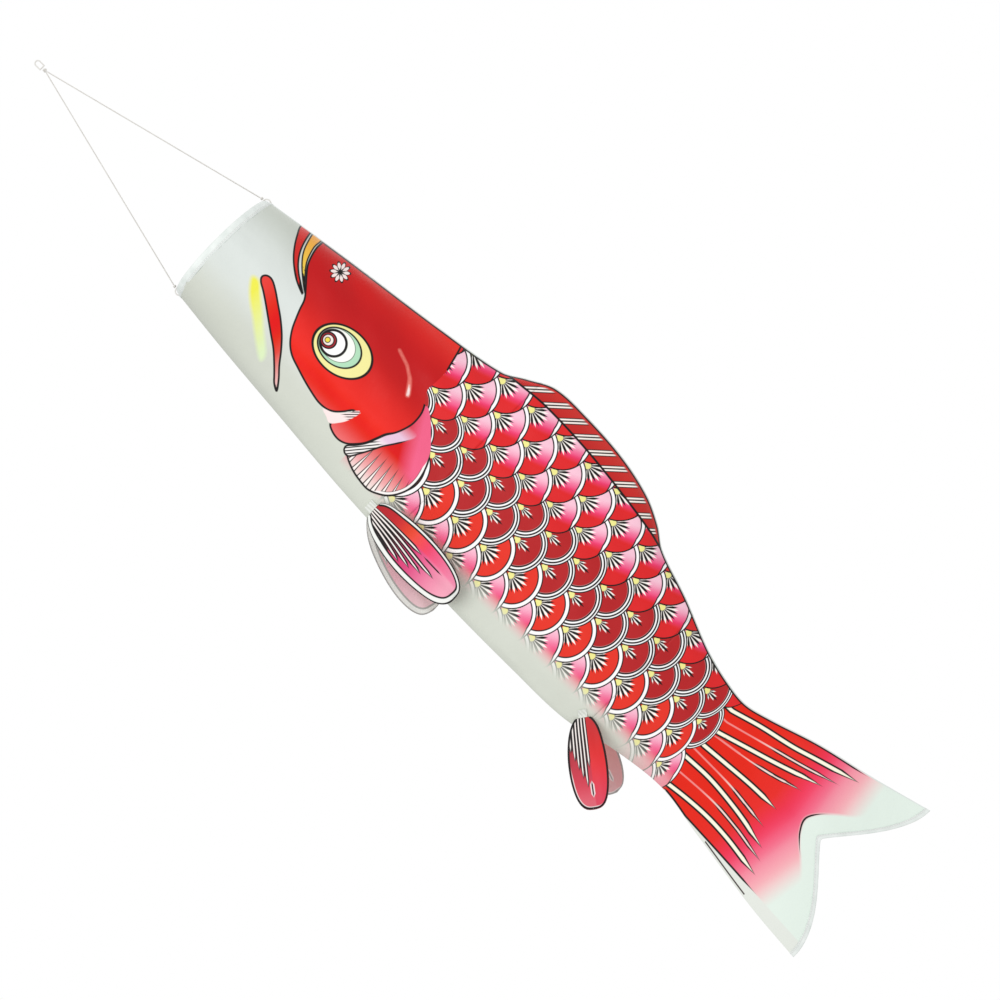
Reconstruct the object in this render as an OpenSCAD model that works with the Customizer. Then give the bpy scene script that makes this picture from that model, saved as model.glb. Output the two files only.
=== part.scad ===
// Carp streamer: a printed cloth fish sock with a round mouth, hung from a two-legged cord bridle.
// The streamer hangs straight down. The origin is where a hook bears in the hanging loop.
// +Z is up, +X is towards the fish's back and -Y towards its left side. Millimetres.

/* [Sock] */
// Length of the sock from its mouth to the tips of its tail
body_length = 1000; // [900:10:1100]
// Width of the round mouth, across the hem
mouth_d = 142; // [130:1:150]
// Cloth wall, drawn thicker than real cloth so that it has a volume
wall = 1.2; // [1:0.1:1.6]
// Width of the seam allowance inside the back and belly seams
seam_w = 6; // [4:0.5:8]
// Length of the hem along the tail's cut edge
tail_hem = 6; // [4:0.5:8]

/* [Mouth] */
// Height of the hem that holds the hoop
hem_h = 9; // [8:0.5:12]
// Thickness of the hem
hem_t = 5; // [4.5:0.1:6]
// Diameter of the hoop's wire
hoop_wire = 2.2; // [1.6:0.1:2.4]
// Length of the sleeve that joins the hoop's ends
joiner_l = 24; // [16:1:30]

/* [Bridle] */
// Height of the hook's seat above the mouth
bridle_h = 288; // [250:1:320]
// Diameter of the cord
cord_d = 1.5; // [1.2:0.1:1.6]
// Inside height of the hanging loop
loop_h = 9; // [8:0.5:12]
// Diameter of the knot at the top of the bridle
apex_knot_d = 5; // [4.5:0.1:6]
// Diameter of the knots at the mouth
tie_knot_d = 4; // [3.6:0.1:4.4]

/* [Bends] */
// Distance from the mouth to the bend behind the head
bend_1 = 290; // [286:1:294]
// Distance from the mouth to the bend behind the back fin
bend_2 = 560; // [556:1:564]
// Distance from the mouth to the bend at the tail root
bend_3 = 775; // [772:1:778]

/* [Fins] */
// Length of a chest fin
pectoral_l = 136; // [120:1:140]
// Width of a chest fin
pectoral_w = 62; // [50:1:64]
// Length of a belly fin
pelvic_l = 104; // [90:1:110]
// Width of a belly fin
pelvic_w = 46; // [40:1:50]
// Thickness of a fin's two layers of cloth
fin_t = 1.2; // [1:0.1:1.5]

/* [Hidden] */

k = body_length / 1000;        // scale of the outline
round_fn = 64;
gap = 0.3;                     // between pieces that turn against each other
seam_half = 0.4;               // half the thickness of a sewn seam
band = [9, 9, 6];              // half the length of each fold band
segments = 20;                 // round one side of the sock
row_step = 22;                 // between the cloth's cross-sections

// Outline of the sock, as [distance from the mouth, x]
back_line = [[0, mouth_d / 2], [110, 88], [240, 106], [320, 120], [345, 134], [375, 149], [420, 151],
    [480, 147], [530, 136], [562, 121], [585, 105], [640, 86], [700, 62], [740, 52], [770, 49],
    [800, 56], [860, 75], [930, 91], [1010, 112]];
belly_line = [[0, -mouth_d / 2], [80, -80], [170, -88], [300, -99], [450, -105], [560, -106],
    [640, -104], [700, -90], [770, -82], [830, -91], [930, -106], [1010, -113]];
// Half the sock's thickness, as [distance from the mouth, y]
side_line = [[0, mouth_d / 2 - seam_half], [100, 62], [200, 48], [300, 40], [450, 38], [600, 31],
    [700, 21], [770, 13], [850, 8], [930, 5.5], [1010, 5]];
notch = 933 * k;               // tail fork, where it is shortest
tips = [999 * k, 1004 * k];    // tail tips, at the back and the belly
notch_across = 0.09;           // place of the fork's notch, from -1 at the belly to 1 at the back

// Smooth curve through a line's points at distance s
function span(line, s, i = 0) = (i >= len(line) - 2 || s < line[i + 1][0]) ? i : span(line, s, i + 1);
function slope(line, i) = (i == 0 || i == len(line) - 1) ?
    (line[max(1, i)][1] - line[max(1, i) - 1][1]) / (line[max(1, i)][0] - line[max(1, i) - 1][0]) :
    (line[i + 1][1] - line[i - 1][1]) / (line[i + 1][0] - line[i - 1][0]);
function curve(line, s) =
    let(i = span(line, s), a = line[i], b = line[i + 1], d = b[0] - a[0], t = (s - a[0]) / d)
    (2 * t * t * t - 3 * t * t + 1) * a[1] + (t * t * t - 2 * t * t + t) * d * slope(line, i)
    + (3 * t * t - 2 * t * t * t) * b[1] + (t * t * t - t * t) * d * slope(line, i + 1);
function back_x(s) = curve(back_line, s / k);
function belly_x(s) = curve(belly_line, s / k);
function side_y(s) = curve(side_line, s / k);
function pointed(s) = 1 + 0.3 * min(1, s / (300 * k));     // round at the mouth, a lens further back
function mid_x(s) = (back_x(s) + belly_x(s)) / 2;
function half_x(s) = (back_x(s) - belly_x(s)) / 2;

// A point of one side's cloth: a runs from 0 at the back to 180 at the belly, in is the inset
function cloth(s, a, in) = [
    mid_x(s) + (half_x(s) - in) * cos(a),
    seam_half + (side_y(s) - in) * pow(sin(a), pointed(s)),
    -bridle_h - s
];
function cloth_y(x, s) =
    seam_half + side_y(s) * pow(max(0, 1 - pow((x - mid_x(s)) / half_x(s), 2)), pointed(s) / 2);
// The tail's cut edge, for a point across the tail: it drops from the notch and flattens at the tips
function cut_edge(c) =
    let(back = c > notch_across,
        share = (back ? c - notch_across : notch_across - c) / (back ? 1 - notch_across : 1 + notch_across))
    notch + ((back ? tips[0] : tips[1]) - notch) * sin(90 * pow(share, 1.15));

// Faces of a grid of points, rows by columns, with a second grid behind it
function grid_faces(rows, cols) = let(n = rows * cols) concat(
    [for (r = [0 : rows - 2], c = [0 : cols - 2], h = [0, 1])
        let(p = r * cols + c)
        h == 0 ? [p, p + 1, p + cols + 1] : [p, p + cols + 1, p + cols]],
    [for (r = [0 : rows - 2], c = [0 : cols - 2], h = [0, 1])
        let(p = n + r * cols + c)
        h == 0 ? [p, p + cols + 1, p + 1] : [p, p + cols, p + cols + 1]],
    [for (r = [0 : rows - 2], e = [0, cols - 1], h = [0, 1])
        let(p = r * cols + e, q = p + cols)
        e == 0 ? (h == 0 ? [p, q, q + n] : [p, q + n, p + n]) :
            (h == 0 ? [p, q + n, q] : [p, p + n, q + n])],
    [for (c = [0 : cols - 2], e = [0, rows - 1], h = [0, 1])
        let(p = e * cols + c, q = p + 1)
        e == 0 ? (h == 0 ? [p, q + n, q] : [p, p + n, q + n]) :
            (h == 0 ? [p, q, q + n] : [p, q + n, p + n])]
);

// One side's cloth from s0 to s1, on the right; in the tail the last row follows the cut edge
module side_cloth(s0, s1) {
    rows = ceil((s1 - s0) / row_step) + 1;
    points = [for (in = [0, wall], r = [0 : rows - 1], i = [0 : segments])
        cloth(s0 + (s1 - s0) * r / (rows - 1), 180 * i / segments, in)];
    polyhedron(points, grid_faces(rows, segments + 1), convexity = 6);
}

module tail_cloth(s0, from_edge, to_edge, rows) {
    points = [for (in = [0, wall], r = [0 : rows - 1], i = [0 : segments])
        let(a = 180 * i / segments, edge = cut_edge(cos(a)))
        cloth((from_edge > 0 ? edge - from_edge : s0)
            + (edge - to_edge - (from_edge > 0 ? edge - from_edge : s0)) * r / (rows - 1), a, in)];
    polyhedron(points, grid_faces(rows, segments + 1), convexity = 6);
}

// The sewn allowance inside an edge, from s0 to s1; side is 1 at the back and -1 at the belly
module seam(side, s0, s1) {
    rows = ceil((s1 - s0) / row_step) + 1;
    points = [for (y = [side * seam_half, -side * seam_half], r = [0 : rows - 1], in = [0, seam_w])
        let(s = s0 + (s1 - s0) * r / (rows - 1))
        [(side > 0 ? back_x(s) - in : belly_x(s) + in), y, -bridle_h - s]];
    polyhedron(points, grid_faces(rows, 2), convexity = 4);
}

module left_side() { mirror([0, 1, 0]) children(); }

module fold_band(n, at) {
    color("lightcoral") union() {
        side_cloth(at - band[n] + gap, at + band[n] - gap);
        left_side() side_cloth(at - band[n] + gap, at + band[n] - gap);
        seam(1, at - band[n] + gap, at + band[n] - gap);
        seam(-1, at - band[n] + gap, at + band[n] - gap);
    }
}

// The sections between the bends
front = [hem_h - 0.5, bend_1 - band[0]];
middle = [bend_1 + band[0], bend_2 - band[1]];
rear = [bend_2 + band[1], bend_3 - band[2]];
tail_start = bend_3 + band[2];

module front_side() { color("whitesmoke") side_cloth(front[0], front[1]); }
module middle_side() { color("crimson") side_cloth(middle[0], middle[1]); }
module rear_side() { color("crimson") side_cloth(rear[0], rear[1]); }
module tail_side() { color("red") tail_cloth(tail_start, 0, tail_hem, 11); }
module tail_hem_side() { color("white") tail_cloth(0, tail_hem, 0, 3); }
module seam_part(side, s) { color("honeydew") seam(side, s[0], s[1]); }

// The front seams start just below the tie loops
hoop_drop = 3.5;               // from the mouth's edge down to the hoop
tie_r = 4.6;
front_seams = [hoop_drop + tie_r + cord_d / 2 + 0.4, front[1]];

// Mouth: the hoop lies in the hem, and its ends meet in a sleeve on the left side
hoop_r = mouth_d / 2 - hem_t / 2;
hoop_z = -bridle_h - hoop_drop;
hoop_break = 3;                // degrees between the hoop's ends
joiner_turn = 180 * joiner_l / (PI * hoop_r);
joiner_r = hoop_wire / 2 + 0.5;

module mouth_hoop() {
    color("silver") translate([0, 0, hoop_z]) rotate([0, 0, -90 + hoop_break / 2])
        rotate_extrude(angle = 360 - hoop_break, $fn = round_fn)
            translate([hoop_r, 0]) circle(d = hoop_wire, $fn = 24);
}

module hoop_joiner() {
    color("lightgrey") translate([0, 0, hoop_z]) rotate([0, 0, -90 - joiner_turn / 2])
        rotate_extrude(angle = joiner_turn, $fn = round_fn)
            translate([hoop_r, 0]) difference() {
                circle(r = joiner_r, $fn = 24);
                circle(d = hoop_wire + 0.04, $fn = 24);
            }
}

module tie_ring(side, r) {
    translate([side * hoop_r, 0, hoop_z]) rotate([90, 0, 0])
        rotate_extrude($fn = 48) translate([tie_r, 0]) circle(r = r, $fn = 24);
}

module mouth_hem() {
    color("honeydew") difference() {
        translate([0, 0, -bridle_h - hem_h + 1]) rotate_extrude($fn = 96) difference() {
            translate([hoop_r - hem_t / 2, 0]) square([hem_t, hem_h - 0.5]);
            translate([hoop_r, hem_h - 1 - hoop_drop]) circle(r = joiner_r + 0.05, $fn = 24);
        }
        tie_ring(1, cord_d / 2 + 0.1);
        tie_ring(-1, cord_d / 2 + 0.1);
    }
}

module tie_loop(side) { color("white") tie_ring(side, cord_d / 2); }

// Bridle: the apex knot, two straight legs and a knot where each leg meets the mouth
tie_z = hoop_z + tie_r + cord_d / 2 + gap + tie_knot_d / 2;
apex_z = -loop_h - cord_d - gap - apex_knot_d / 2;
back_route = [[0, 0, apex_z], [hoop_r / 2, 0, (apex_z + tie_z) / 2], [hoop_r, 0, tie_z]];
belly_route = [[0, 0, apex_z], [-hoop_r / 2, 0, (apex_z + tie_z) / 2], [-hoop_r, 0, tie_z]];
cord_rings = 60;

// A cord of eight sides along a straight or bent route, cut back at both ends
module cord_tube(route, cut_0, cut_1) {
    first = route[0];
    last = route[len(route) - 1];
    way = (last - first) / norm(last - first);
    across = [way[2], 0, -way[0]];
    start = first + way * cut_0;
    run = norm(last - first) - cut_0 - cut_1;
    sides = 8;
    points = [for (r = [0 : cord_rings - 1], i = [0 : sides - 1])
        start + way * run * r / (cord_rings - 1)
        + cord_d / 2 * (across * cos(360 * i / sides) + [0, 1, 0] * sin(360 * i / sides))];
    wall_faces = [for (r = [0 : cord_rings - 2], i = [0 : sides - 1], h = [0, 1])
        let(p = r * sides + i, q = r * sides + (i + 1) % sides)
        h == 0 ? [p, q, q + sides] : [p, q + sides, p + sides]];
    ends = [[for (i = [sides - 1 : -1 : 0]) i],
        [for (i = [0 : sides - 1]) (cord_rings - 1) * sides + i]];
    polyhedron(points, concat(wall_faces, ends), convexity = 2);
}

module bridle_leg(route) {
    color("white") cord_tube(route, apex_knot_d / 2 + gap, tie_knot_d / 2);
}

module tie_knot(side) {
    color("white") translate([side * hoop_r, 0, tie_z]) sphere(d = tie_knot_d, $fn = 32);
}

module apex_knot() {
    color("white") translate([0, 0, apex_z]) sphere(d = apex_knot_d, $fn = 32);
}

// A loop of cord: a half circle over the hook, with two short legs down to the knot
module hanging_loop() {
    hook_r = 2.5;              // radius inside the bow, round the hook
    bow_r = hook_r + cord_d / 2;
    color("white") translate([0, 0, -hook_r]) union() {
        rotate([90, 0, 0]) rotate_extrude(angle = 180, $fn = 48)
            translate([bow_r, 0]) circle(d = cord_d, $fn = 24);
        for (side = [-1, 1])
            translate([side * bow_r, 0, -loop_h + hook_r]) cylinder(d = cord_d, h = loop_h - hook_r, $fn = 24);
        translate([-bow_r, 0, -loop_h + hook_r]) rotate([0, 90, 0])
            cylinder(d = cord_d, h = 2 * bow_r, $fn = 24);
        for (side = [-1, 1])
            translate([side * bow_r, 0, -loop_h + hook_r]) sphere(d = cord_d, $fn = 24);
    }
}

// Fins. A fin's frame has its root point, its way out from the root and its root line.
function unit(v) = v / norm(v);
function fin_frame(root_x, root_s, splay, flare, stand) =
    let(way = unit([-sin(splay), flare, -cos(splay)]),
        lean = (cloth_y(root_x + 8, root_s) - cloth_y(root_x - 8, root_s)) / 16,
        line_0 = [cos(splay), 0.75 * lean, -sin(splay)],
        line = unit(line_0 - way * (line_0 * way)))
    [[root_x, cloth_y(root_x, root_s) + stand, -bridle_h - root_s], way, line, unit(cross(way, line))];
pectoral_right = fin_frame(-87, 327 * k, 16, 0.2, 3);
pectoral_left = fin_frame(-88, 327 * k, 2, 0.12, 3);
pelvic_right = fin_frame(-88, 652 * k, 21, 0.32, 2.4);
pelvic_left = fin_frame(-88, 652 * k, 38, 0.2, 2.4);
root_t = 0.025;                // share of a fin's length that its root cuts off
root_l = 9;                    // length of the sewn root along the sock

// Half a fin's width: narrow at the root, widest past the middle, round at the tip
function fin_half(t, w) = w / 2 * pow(max(0, 4 * pow(t, 1.27) * (1 - pow(t, 1.27))), 0.45);

module fin(frame, l, w) {
    steps = 28;
    ts = [for (i = [0 : steps]) root_t + (1 - root_t) * (1 - cos(180 * i / steps)) / 2];
    outline = concat([for (t = ts) [fin_half(t, w), (t - root_t) * l + gap]],
        [for (i = [steps - 1 : -1 : 0]) [-fin_half(ts[i], w), (ts[i] - root_t) * l + gap]]);
    color("mediumvioletred") multmatrix([
        [frame[2][0], frame[1][0], -frame[3][0], frame[0][0]],
        [frame[2][1], frame[1][1], -frame[3][1], frame[0][1]],
        [frame[2][2], frame[1][2], -frame[3][2], frame[0][2]],
        [0, 0, 0, 1]]) translate([0, 0, -fin_t / 2]) linear_extrude(fin_t) polygon(outline);
}

// The sewn root: a patch between the sock's cloth and the fin's root line
module fin_root(frame, l, w) {
    rows = 4;
    cols = 9;
    reach = fin_half(root_t, w);
    spots = [for (r = [0 : rows - 1], c = [0 : cols - 1])
        frame[0] - frame[1] * root_l * (1 - r / (rows - 1)) + frame[2] * reach * (2 * c / (cols - 1) - 1)];
    points = concat(
        [for (p = spots) [p[0], max(p[1] + fin_t / 2, cloth_y(p[0], -bridle_h - p[2]) + wall), p[2]]],
        [for (p = spots) [p[0], cloth_y(p[0], -bridle_h - p[2]) + 0.1, p[2]]]);
    color("mediumvioletred") polyhedron(points, grid_faces(rows, cols), convexity = 4);
}

hanging_loop();
apex_knot();
bridle_leg(back_route);  // back_cord
bridle_leg(belly_route);  // belly_cord
tie_knot(1);  // back_tie_knot
tie_knot(-1);  // belly_tie_knot
tie_loop(1);  // back_tie_loop
tie_loop(-1);  // belly_tie_loop
mouth_hoop();
hoop_joiner();
mouth_hem();
left_side() front_side();  // left_front_panel
front_side();  // right_front_panel
seam_part(1, front_seams);  // back_seam_front
seam_part(-1, front_seams);  // belly_seam_front
fold_band(0, bend_1);  // front_fold_band
left_side() middle_side();  // left_middle_panel
middle_side();  // right_middle_panel
seam_part(1, middle);  // back_seam_middle
seam_part(-1, middle);  // belly_seam_middle
left_side() fin_root(pectoral_left, pectoral_l, pectoral_w);  // left_pectoral_root
fin_root(pectoral_right, pectoral_l, pectoral_w);  // right_pectoral_root
fold_band(1, bend_2);  // middle_fold_band
left_side() rear_side();  // left_rear_panel
rear_side();  // right_rear_panel
seam_part(1, rear);  // back_seam_rear
seam_part(-1, rear);  // belly_seam_rear
left_side() fin_root(pelvic_left, pelvic_l, pelvic_w);  // left_pelvic_root
fin_root(pelvic_right, pelvic_l, pelvic_w);  // right_pelvic_root
fold_band(2, bend_3);  // tail_fold_band
left_side() tail_side();  // left_tail_panel
tail_side();  // right_tail_panel
seam_part(1, [tail_start, tips[0] - tail_hem]);  // back_seam_tail
seam_part(-1, [tail_start, tips[1] - tail_hem]);  // belly_seam_tail
left_side() tail_hem_side();  // left_tail_hem
tail_hem_side();  // right_tail_hem
left_side() fin(pectoral_left, pectoral_l, pectoral_w);  // left_pectoral_fin
fin(pectoral_right, pectoral_l, pectoral_w);  // right_pectoral_fin
left_side() fin(pelvic_left, pelvic_l, pelvic_w);  // left_pelvic_fin
fin(pelvic_right, pelvic_l, pelvic_w);  // right_pelvic_fin
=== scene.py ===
"""A carp streamer: a printed cloth sock in the shape of a carp, hung from a two-legged cord bridle."""

import math
from functools import partial

import bmesh
import bpy
import numpy as np
from mathutils import Matrix, Vector, noise


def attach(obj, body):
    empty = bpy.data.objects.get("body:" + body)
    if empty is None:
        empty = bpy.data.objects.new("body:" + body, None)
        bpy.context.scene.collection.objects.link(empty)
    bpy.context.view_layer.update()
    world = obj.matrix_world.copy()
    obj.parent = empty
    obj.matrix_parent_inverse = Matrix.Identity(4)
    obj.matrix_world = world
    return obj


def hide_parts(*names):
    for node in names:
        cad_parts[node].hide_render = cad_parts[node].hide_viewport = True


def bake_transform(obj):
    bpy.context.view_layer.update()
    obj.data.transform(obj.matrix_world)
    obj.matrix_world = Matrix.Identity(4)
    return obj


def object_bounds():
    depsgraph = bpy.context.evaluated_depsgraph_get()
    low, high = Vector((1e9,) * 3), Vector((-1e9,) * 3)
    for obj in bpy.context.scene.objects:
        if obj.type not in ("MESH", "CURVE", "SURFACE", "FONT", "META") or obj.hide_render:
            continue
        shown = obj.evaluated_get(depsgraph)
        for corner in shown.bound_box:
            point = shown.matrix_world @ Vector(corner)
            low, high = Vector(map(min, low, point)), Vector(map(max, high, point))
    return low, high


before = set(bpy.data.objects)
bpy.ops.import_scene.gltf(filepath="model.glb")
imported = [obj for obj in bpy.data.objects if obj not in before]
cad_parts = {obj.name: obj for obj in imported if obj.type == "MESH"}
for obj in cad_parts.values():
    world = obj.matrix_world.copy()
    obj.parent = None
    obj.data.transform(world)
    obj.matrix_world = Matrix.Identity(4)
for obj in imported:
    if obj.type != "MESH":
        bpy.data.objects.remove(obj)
cad_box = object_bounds()
scene = bpy.context.scene

# ---------------------------------------------------------------- Studio
# A pale room with no walls: a soft white sky, one broad key lamp and one weak lamp from behind,
# and a round pale floor far below the streamer, which hangs in the air.


def hex_colour(code):
    """An sRGB hex colour as linear values."""
    levels = [int(code[i : i + 2], 16) / 255 for i in (1, 3, 5)]
    return [v / 12.92 if v <= 0.04045 else ((v + 0.055) / 1.055) ** 2.4 for v in levels] + [1.0]


def add_node(tree, kind, inputs=(), **settings):
    """Adds a shader node; a kind in capitals is an operation of the Math node. inputs go to its sockets
    in order or by name: a value, a hex colour, a node, a socket, or (kind, input, ...) for a new node."""
    node = tree.nodes.new("ShaderNode" + ("Math" if kind.isupper() else kind))
    if kind.isupper():
        node.operation = kind
    for name, value in settings.items():
        setattr(node, name, value)
    shown = [s for s in node.inputs if s.enabled]
    named = inputs.items() if isinstance(inputs, dict) else enumerate(inputs)
    for key, value in named:
        socket = shown[key] if isinstance(key, int) else node.inputs[key]
        if isinstance(value, tuple) and isinstance(value[0], str):
            value = add_node(tree, value[0], value[1:])
        if isinstance(value, bpy.types.Node):
            value = next(o for o in value.outputs if o.enabled)
        if isinstance(value, bpy.types.NodeSocket):
            tree.links.new(value, socket)
        else:
            socket.default_value = hex_colour(value) if isinstance(value, str) else value
    return node


def new_material(name):
    """An empty material, and add_node for its tree."""
    material = bpy.data.materials.new(name)
    material.use_nodes = True
    material.node_tree.nodes.clear()
    return material, partial(add_node, material.node_tree)


def add_lamp(name, place, aim, size, power):
    """A square soft lamp at a place, turned to shine at a point."""
    lamp = bpy.data.lights.new(name, "AREA")
    lamp.size = size
    lamp.energy = power
    holder = bpy.data.objects.new(name, lamp)
    holder.location = place
    holder.rotation_euler = (Vector(aim) - Vector(place)).to_track_quat("-Z", "Y").to_euler()
    scene.collection.objects.link(holder)


# The camera looks along +Y with its head tilted, so the hanging fish runs from upper left to lower right
middle = Vector((0.0176, 0, -0.7062))
camera_away = 3.076
camera = bpy.data.cameras.new("camera")
camera.lens = 100
camera.sensor_width = 36
view = bpy.data.objects.new("camera", camera)
tilt = math.radians(44.8)
right = Vector((math.sin(tilt), 0, -math.cos(tilt)))
up = Vector((math.cos(tilt), 0, math.sin(tilt)))
tilted = Matrix((right, up, right.cross(up))).transposed().to_4x4()
view.matrix_world = Matrix.Translation(middle - Vector((0, camera_away, 0))) @ tilted
scene.collection.objects.link(view)
scene.camera = view
scene.view_settings.view_transform = "Standard"

add_lamp("key lamp", (-0.5, -3.1, 1.0), middle, 2.4, 62)
add_lamp("back lamp", (1.8, 2.2, 0.4), middle, 2.0, 18)

sky = bpy.data.worlds.new("white room")
sky.use_nodes = True
sky.node_tree.nodes.clear()
add = partial(add_node, sky.node_tree)
room = add("Background", ["#ffffff", 0.7])
seen = add("Background", ["#ffffff", 1.0])
rays = add("LightPath")
both = add("MixShader", [rays.outputs["Is Camera Ray"], room, seen])
add("OutputWorld", [both])
scene.world = sky

floor_drop = 0.9                # m from the tail down to the floor
floor_mesh = bpy.data.meshes.new("floor")
shape = bmesh.new()
bmesh.ops.create_circle(shape, cap_ends=True, segments=96, radius=1.2)
bmesh.ops.translate(shape, verts=shape.verts, vec=(0, 0, cad_box[0][2] - floor_drop))
shape.to_mesh(floor_mesh)
shape.free()
floor = bpy.data.objects.new("floor", floor_mesh)
scene.collection.objects.link(floor)
floor_paint, add = new_material("matt white studio floor")
painted = add("BsdfPrincipled", {"Base Color": "#eeeeec", "Roughness": 0.85})
add("OutputMaterial", [painted])
floor_mesh.materials.append(floor_paint)

# ---------------------------------------------------------------- Bridle
# Two legs of thin white twisted polyester cord run from one knot at the top to the mouth. Each leg
# is three strands laid together. A small bow of the same cord above the knot goes on a hook.
cord_width = 0.0015
apex = Vector((0, 0, -0.0133))
ties = {"back": Vector((0.0685, 0, -0.28385)), "belly": Vector((-0.0685, 0, -0.28385))}

# White twisted polyester: dull, with a fine diagonal lay drawn at 1.2 mm
white_cord, add = new_material("white twisted polyester cord")
spot = add("TexCoord")
lay = add("Mapping", {"Vector": spot.outputs["Object"], "Rotation": (0.0, 0.6, 0.6)})
twist = add("TexWave", {"Vector": lay, "Scale": 260.0, "Distortion": 0.4}, bands_direction="DIAGONAL")
soil = add("TexNoise", {"Vector": spot.outputs["Object"], "Scale": 90.0})
tint = add("Mix", [soil, "#cfccc7", "#e3e1dc"], data_type="RGBA")
lumps = add("Bump", {"Height": twist, "Strength": 0.5, "Distance": 0.0002})
thread = add("BsdfPrincipled", {"Base Color": tint, "Roughness": 0.62, "Normal": lumps,
                                "Sheen Weight": 0.2})
add("OutputMaterial", [thread])


def new_piece(name, mesh, *finishes):
    """A mesh object at the origin, with its materials."""
    for finish in finishes:
        mesh.materials.append(finish)
    piece = bpy.data.objects.new(name, mesh)
    scene.collection.objects.link(piece)
    return piece


def mesh_of(name, shape):
    """The finished mesh of a bmesh, with smooth faces."""
    for face in shape.faces:
        face.smooth = True
    mesh = bpy.data.meshes.new(name)
    shape.to_mesh(mesh)
    shape.free()
    return mesh


legs = {}
for side, tie in ties.items():
    way = (tie - apex).normalized()
    start, end = apex + way * 0.0028, tie - way * 0.002
    run = (end - start).length
    shape = bmesh.new()
    # The radius of a strand and of the helix it lies on, one turn's length, and rings to a turn
    strand_r, lay_r, pitch, steps = 0.00036, 0.00038, 0.0052, 8
    turns = run / pitch
    count = round(turns * steps)
    for strand in range(3):
        ring = bmesh.ops.create_circle(shape, segments=6, radius=strand_r)["verts"]
        bmesh.ops.translate(shape, verts=ring, vec=(lay_r, 0, 0))
        bmesh.ops.rotate(shape, verts=ring, matrix=Matrix.Rotation(math.tau * strand / 3, 3, "Z"))
        edges = [e for e in shape.edges if e.verts[0] in ring and e.verts[1] in ring]
        bmesh.ops.spin(shape, geom=ring + edges, axis=(0, 0, 1), dvec=(0, 0, run / count),
                       angle=math.tau * turns, steps=count)
    bmesh.ops.holes_fill(shape, edges=shape.edges)
    bmesh.ops.recalc_face_normals(shape, faces=shape.faces)
    bmesh.ops.rotate(shape, verts=shape.verts, matrix=way.to_track_quat("Z", "Y").to_matrix())
    bmesh.ops.translate(shape, verts=shape.verts, vec=start)
    leg = new_piece(f"{side}_leg", mesh_of(f"{side}_leg", shape), white_cord)
    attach(leg, "bridle")
    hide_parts(f"{side}_cord")
    legs[side] = (leg, start, run, [start.lerp(end, i / 19) for i in range(20)])


# Knots: the cord passes three times round itself and is pulled tight
def tight_knot(name, centre, size, body, node, turned):
    """A closed loop of cord wound twice round a ring and three times through it."""
    count = 120
    knot = bpy.data.curves.new(name, "CURVE")
    knot.dimensions = "3D"
    knot.bevel_depth = cord_width * 0.46
    knot.bevel_resolution = 3
    line = knot.splines.new("POLY")
    line.use_cyclic_u = True
    line.points.add(count - 1)
    for i, point in enumerate(line.points):
        t = math.tau * i / count
        out = 1 + 0.5 * math.cos(3 * t)
        way = Vector((out * math.cos(2 * t), 0.75 * math.sin(3 * t), out * math.sin(2 * t)))
        way.rotate(Matrix.Rotation(turned, 3, "X"))
        point.co = (*(centre + way * size), 1)
    knot.materials.append(white_cord)
    piece = bpy.data.objects.new(name, knot)
    scene.collection.objects.link(piece)
    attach(piece, body)
    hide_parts(node)
    return piece


top_knot = tight_knot("top_knot", apex, 0.0012, "knot", "apex_knot", 0.3)
for side, tie in ties.items():
    tie_knot = tight_knot(f"{side}_knot", tie, 0.00088, "bridle", f"{side}_tie_knot", 1.1)
    leg, start, run, path = legs[side]
for node in ("hanging_loop", "back_tie_loop", "belly_tie_loop"):
    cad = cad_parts[node]
    cad.data.materials.clear()
    cad.data.materials.append(white_cord)

# ---------------------------------------------------------------- Hoop
# A ring of thin steel wire holds the mouth open. Its ends meet in a short plastic sleeve.
# Drawn steel wire: bright, with fine lines along its length
wire, add = new_material("drawn steel wire")
spot = add("TexCoord")
grain = add("TexNoise", {"Vector": spot.outputs["Object"], "Scale": 900.0, "Detail": 3.0})
rough = add("MapRange", [grain, 0.3, 0.7, 0.28, 0.42])
steel = add("BsdfPrincipled", {"Base Color": "#b9bcc0", "Metallic": 1.0, "Roughness": rough})
add("OutputMaterial", [steel])

# Clear-white PVC tube: smooth, slightly milky
sleeve, add = new_material("extruded white PVC sleeve")
spot = add("TexCoord")
cloud = add("TexNoise", {"Vector": spot.outputs["Object"], "Scale": 300.0})
milk = add("Mix", [cloud, "#dcdcda", "#ecece9"], data_type="RGBA")
tube = add("BsdfPrincipled", {"Base Color": milk, "Roughness": 0.35})
add("OutputMaterial", [tube])
for node, finish in (("mouth_hoop", wire), ("hoop_joiner", sleeve)):
    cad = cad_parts[node]
    cad.data.materials.clear()
    cad.data.materials.append(finish)

# ---------------------------------------------------------------- Sock
# Two printed sides of thin woven polyester, sewn together along the back and the belly. Each side
# is cut in three lengths that meet where the sock bends. s is the distance from the mouth and x
# the place across the fish, both in mm, and the print is laid out in them.
mouth_drop, mouth_r = 288, 71     # mm from the hook down to the mouth, and the mouth's radius
back_line = [(0, 71), (110, 88), (240, 106), (320, 120), (345, 134), (375, 149), (420, 151), (480, 147),
             (530, 136), (562, 121), (585, 105), (640, 86), (700, 62), (740, 52), (770, 49), (800, 56),
             (860, 75), (930, 91), (1010, 112)]
belly_line = [(0, -71), (80, -80), (170, -88), (300, -99), (450, -105), (560, -106), (640, -104),
              (700, -90), (770, -82), (830, -91), (930, -106), (1010, -113)]
side_line = [(0, 70.6), (100, 62), (200, 48), (300, 40), (450, 38), (600, 31), (700, 21), (770, 13),
             (850, 8), (930, 5.5), (1010, 5)]
fin_roots = [(-87, 327, 30), (-88, 652, 24)]   # x, s and how far round it the cloth lies calm


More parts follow.
